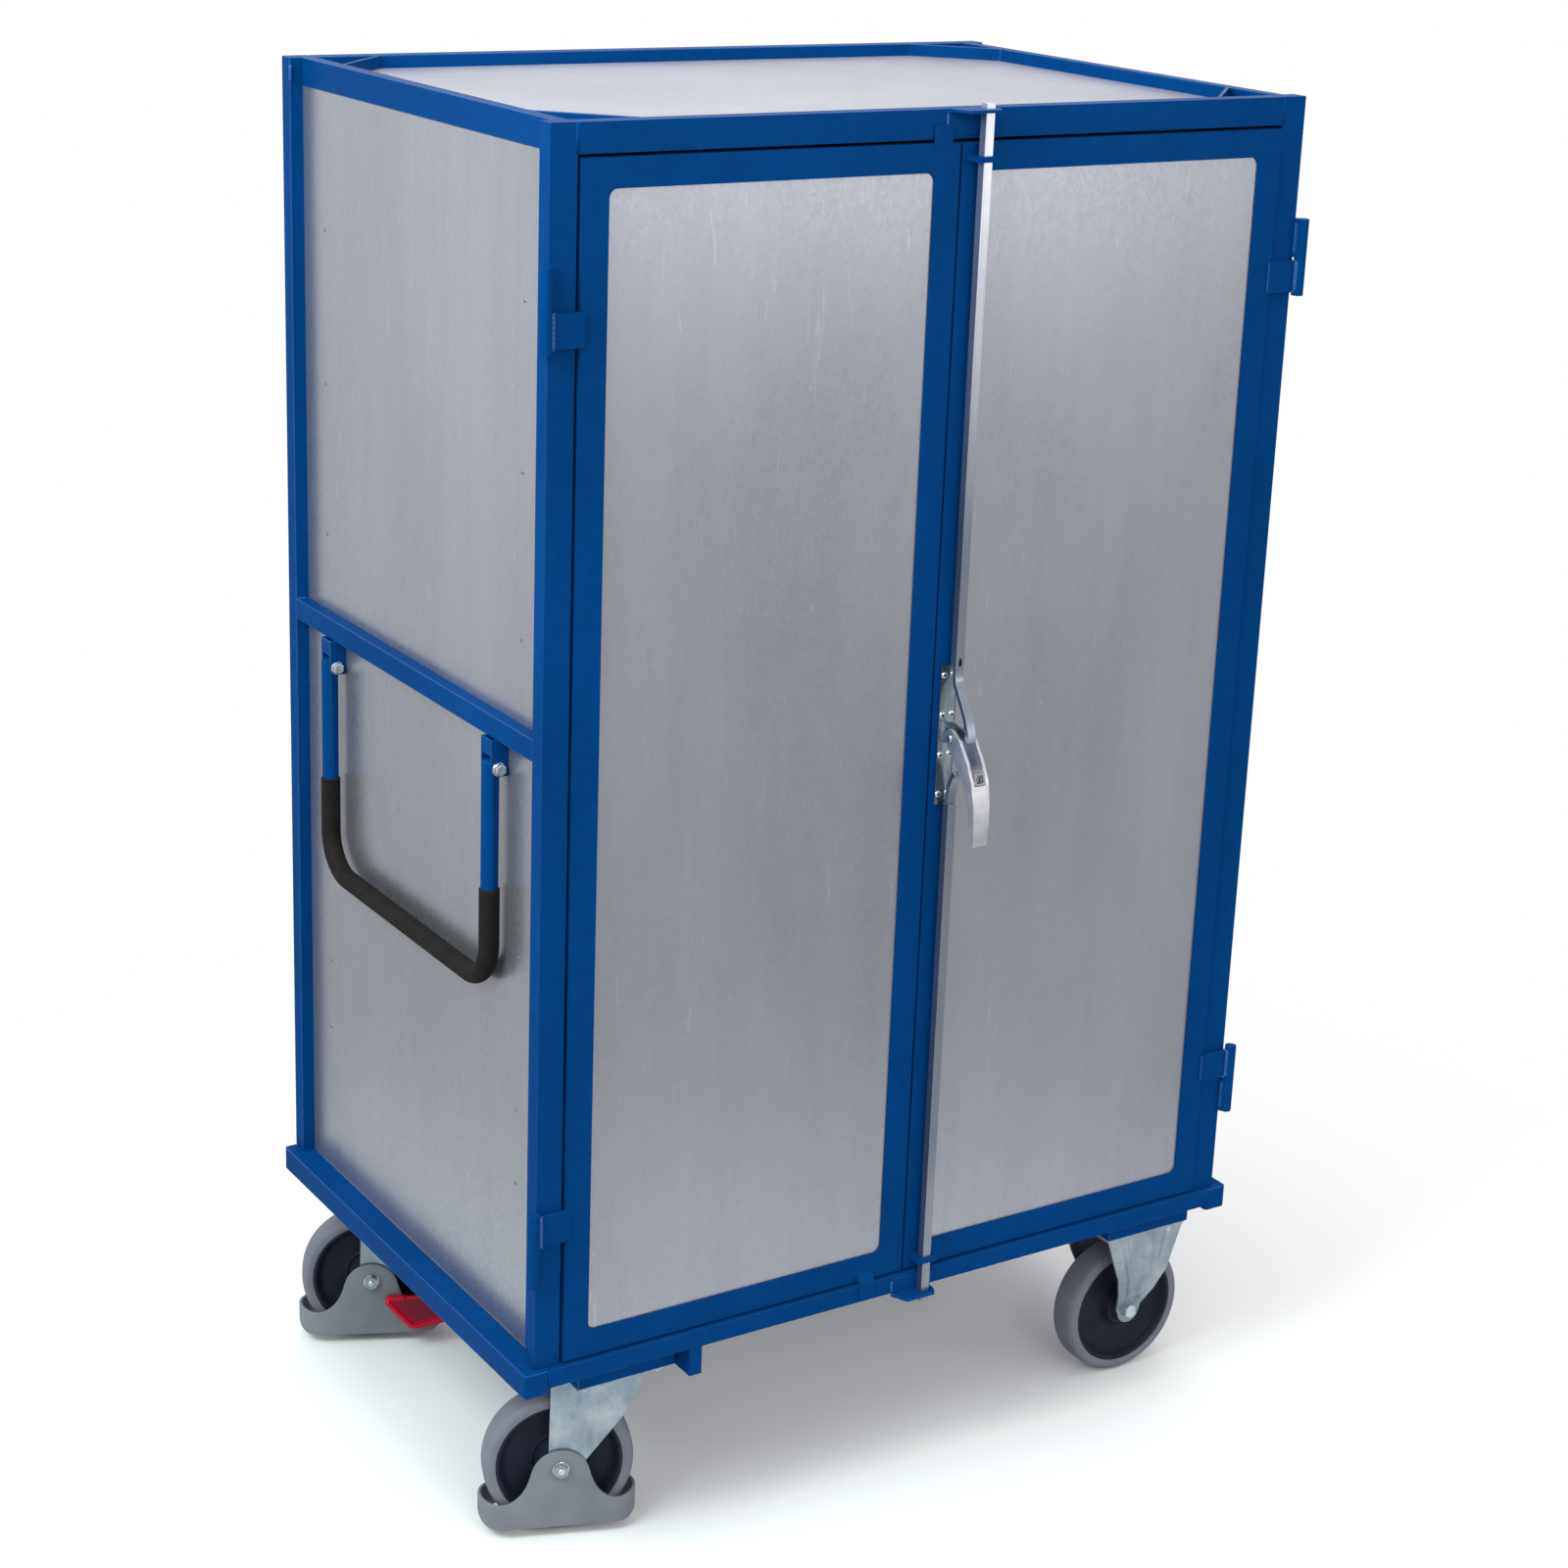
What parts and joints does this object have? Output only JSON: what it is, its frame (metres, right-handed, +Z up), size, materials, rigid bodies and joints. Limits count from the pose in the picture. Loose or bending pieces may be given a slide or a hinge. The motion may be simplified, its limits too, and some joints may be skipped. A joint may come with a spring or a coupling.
{
  "type": "shelf trolley",
  "caption": "Closed shelf trolley: steel frame with sheet cladding, hinged doors, lever lock with bars, folding push handle, swivel and fixed casters.",
  "frame": {"origin": "on the floor under the middle of the bounding box", "axes": "+Z up, doors and lock towards -Y, push handle and swivel casters at the -X end"},
  "size_m": [1.136, 0.8338, 1.855],
  "materials": {
    "blue_paint": "semi-gloss powder coat",
    "galvanised_sheet": "hot-dip galvanised sheet",
    "zinc_plate": "bright zinc plate",
    "cast_aluminium": "blasted casting",
    "grey_tyre": "non-marking grey rubber",
    "dark_hub": "moulded nylon",
    "grey_guard": "moulded, fine grain",
    "red_pedal": "moulded, satin",
    "black_grip": "matt grip sleeve"
  },
  "bodies": {
    "cabinet": {"front_left_post": "blue_paint", "rear_left_post": "blue_paint", "front_right_post": "blue_paint", "rear_right_post": "blue_paint", "top_front_rail": "blue_paint", "top_rear_rail": "blue_paint", "top_left_rail": "blue_paint", "left_mid_rail": "blue_paint", "top_right_rail": "blue_paint", "right_mid_rail": "blue_paint", "base_left_member": "blue_paint", "base_right_member": "blue_paint", "base_front_rail": "blue_paint", "base_rear_rail": "blue_paint", "base_cross_member": "blue_paint", "left_caster_beam": "blue_paint", "right_caster_beam": "blue_paint", "floor_sheet": "galvanised_sheet", "back_panel": "galvanised_sheet", "top_sheet": "galvanised_sheet", "left_side_panel": "galvanised_sheet", "right_side_panel": "galvanised_sheet", "shelf_lower": "galvanised_sheet", "shelf_middle": "galvanised_sheet", "shelf_upper": "galvanised_sheet", "handle_bracket_front": "blue_paint", "handle_bracket_rear": "blue_paint", "front_caster_plate": "zinc_plate", "rear_caster_plate": "zinc_plate", "front_fixed_housing": "zinc_plate", "rear_fixed_housing": "zinc_plate"},
    "left_door": {"left_door_frame": "blue_paint", "left_door_panel": "galvanised_sheet"},
    "right_door": {"right_door_frame": "blue_paint", "right_door_panel": "galvanised_sheet", "lock_plate": "zinc_plate"},
    "lever": {"lock_lever": "cast_aluminium"},
    "lock_cylinder": {"lock_cylinder": "zinc_plate"},
    "upper_lock": {"upper_lock_bar": "zinc_plate", "upper_lock_link": "zinc_plate"},
    "lower_lock": {"lower_lock_bar": "zinc_plate", "lower_lock_link": "zinc_plate"},
    "push_handle": {"push_handle_tube": "blue_paint", "push_handle_grip": "black_grip"},
    "front_swivel": {"front_fork": "zinc_plate", "front_axle_bolt": "zinc_plate", "front_foot_guard": "grey_guard"},
    "rear_swivel": {"rear_fork": "zinc_plate", "rear_axle_bolt": "zinc_plate", "rear_foot_guard": "grey_guard"},
    "brake_pedal": {"brake_pedal": "red_pedal"},
    "front_swivel_wheel": {"front_swivel_tyre": "grey_tyre", "front_swivel_hub": "dark_hub"},
    "rear_swivel_wheel": {"rear_swivel_tyre": "grey_tyre", "rear_swivel_hub": "dark_hub"},
    "front_fixed_wheel": {"front_fixed_tyre": "grey_tyre", "front_fixed_hub": "dark_hub"},
    "rear_fixed_wheel": {"rear_fixed_tyre": "grey_tyre", "rear_fixed_hub": "dark_hub"}
  },
  "joints": [
    {"name": "left_door_hinge", "type": "hinge", "parent": "cabinet", "child": "left_door", "pos_m": [-0.557, -0.33461, 1.055], "axis": [0, 0, -1], "range_deg": [0, 180]},
    {"name": "right_door_hinge", "type": "hinge", "parent": "cabinet", "child": "right_door", "pos_m": [0.557, -0.33461, 1.055], "axis": [0, 0, 1], "range_deg": [0, 180]},
    {"name": "lock_lever_pivot", "type": "hinge", "parent": "right_door", "child": "lever", "pos_m": [0.031, -0.35861, 1.062], "axis": [-1, 0, 0], "range_deg": [0, 130]},
    {"name": "upper_lock_slide", "type": "slide", "parent": "right_door", "child": "upper_lock", "axis": [0, 0, -1], "range_m": [0, 0.03]},
    {"name": "lower_lock_slide", "type": "slide", "parent": "right_door", "child": "lower_lock", "axis": [0, 0, 1], "range_m": [0, 0.03]},
    {"name": "lock_cylinder_turn", "type": "hinge", "parent": "lever", "child": "lock_cylinder", "pos_m": [0.031, -0.40691, 1.02], "axis": [0, -1, 0], "range_deg": [0, 90]},
    {"name": "push_handle_fold", "type": "hinge", "parent": "cabinet", "child": "push_handle", "pos_m": [-0.5455, 0.04039, 1.059], "axis": [0, 1, 0], "range_deg": [0, 90]},
    {"name": "front_swivel_turn", "type": "hinge", "parent": "cabinet", "child": "front_swivel", "pos_m": [-0.405, -0.24761, 0.22], "axis": [0, 0, 1], "continuous": true},
    {"name": "rear_swivel_turn", "type": "hinge", "parent": "cabinet", "child": "rear_swivel", "pos_m": [-0.405, 0.32839, 0.22], "axis": [0, 0, 1], "continuous": true},
    {"name": "front_swivel_wheel_spin", "type": "hinge", "parent": "front_swivel", "child": "front_swivel_wheel", "pos_m": [-0.46023, -0.22685, 0.09969], "axis": [0.3518, 0.9361, 0], "continuous": true},
    {"name": "rear_swivel_wheel_spin", "type": "hinge", "parent": "rear_swivel", "child": "rear_swivel_wheel", "pos_m": [-0.45877, 0.35267, 0.09969], "axis": [0.4115, 0.9114, 0], "continuous": true},
    {"name": "front_fixed_wheel_spin", "type": "hinge", "parent": "cabinet", "child": "front_fixed_wheel", "pos_m": [0.4535, -0.24761, 0.09969], "axis": [0, 1, 0], "continuous": true},
    {"name": "rear_fixed_wheel_spin", "type": "hinge", "parent": "cabinet", "child": "rear_fixed_wheel", "pos_m": [0.4535, 0.32839, 0.09969], "axis": [0, 1, 0], "continuous": true},
    {"name": "brake_pedal_press", "type": "hinge", "parent": "rear_swivel", "child": "brake_pedal", "pos_m": [-0.45886, 0.3063, 0.07769], "axis": [0.9114, -0.4115, 0], "range_deg": [0, 12]}
  ],
  "couplings": [
    {"joint": "upper_lock_slide", "follows": "lock_lever_pivot", "m_per_rad": 0.0132},
    {"joint": "lower_lock_slide", "follows": "lock_lever_pivot", "m_per_rad": 0.0132}
  ]
}
